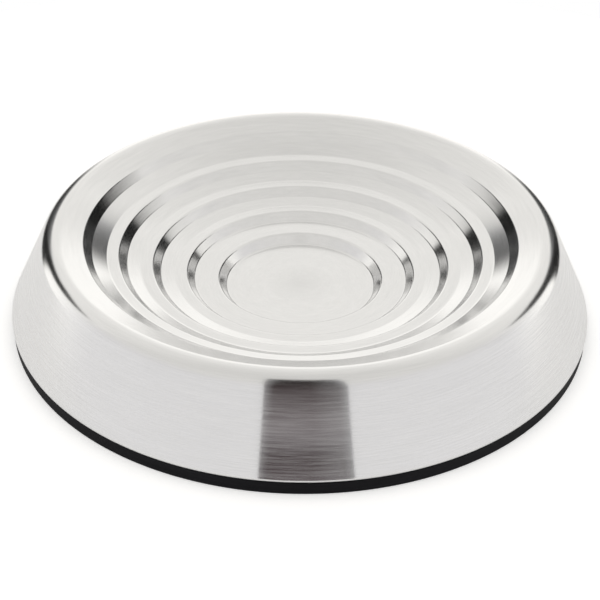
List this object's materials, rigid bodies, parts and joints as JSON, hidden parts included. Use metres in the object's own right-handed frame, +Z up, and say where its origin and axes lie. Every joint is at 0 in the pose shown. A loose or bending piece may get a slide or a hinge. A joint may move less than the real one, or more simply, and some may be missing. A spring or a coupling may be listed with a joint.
{
  "type": "cat bowl",
  "caption": "Shallow round steel cat bowl with stepped rings inside, a rolled rim and a flared skirt, standing on a black rubber ring that pulls off.",
  "frame": {"origin": "on the bowl's axis, level with the underside of the rubber ring", "axes": "+Z up along the bowl's axis; the bowl is round, so +X and +Y are free, and -Y faces the picture's viewer"},
  "size_m": [0.1902, 0.1902, 0.0316],
  "materials": {
    "steel": "stainless steel, spun with fine rings about the axis",
    "rubber": "satin black moulded rubber"
  },
  "bodies": {
    "ring": {"rubber_ring": "rubber"},
    "bowl": {"bowl_body": "steel"}
  },
  "joints": [
    {"name": "bowl_lift", "type": "slide", "parent": "ring", "child": "bowl", "axis": [0, 0, 1], "range_m": [0, 0.03]}
  ]
}
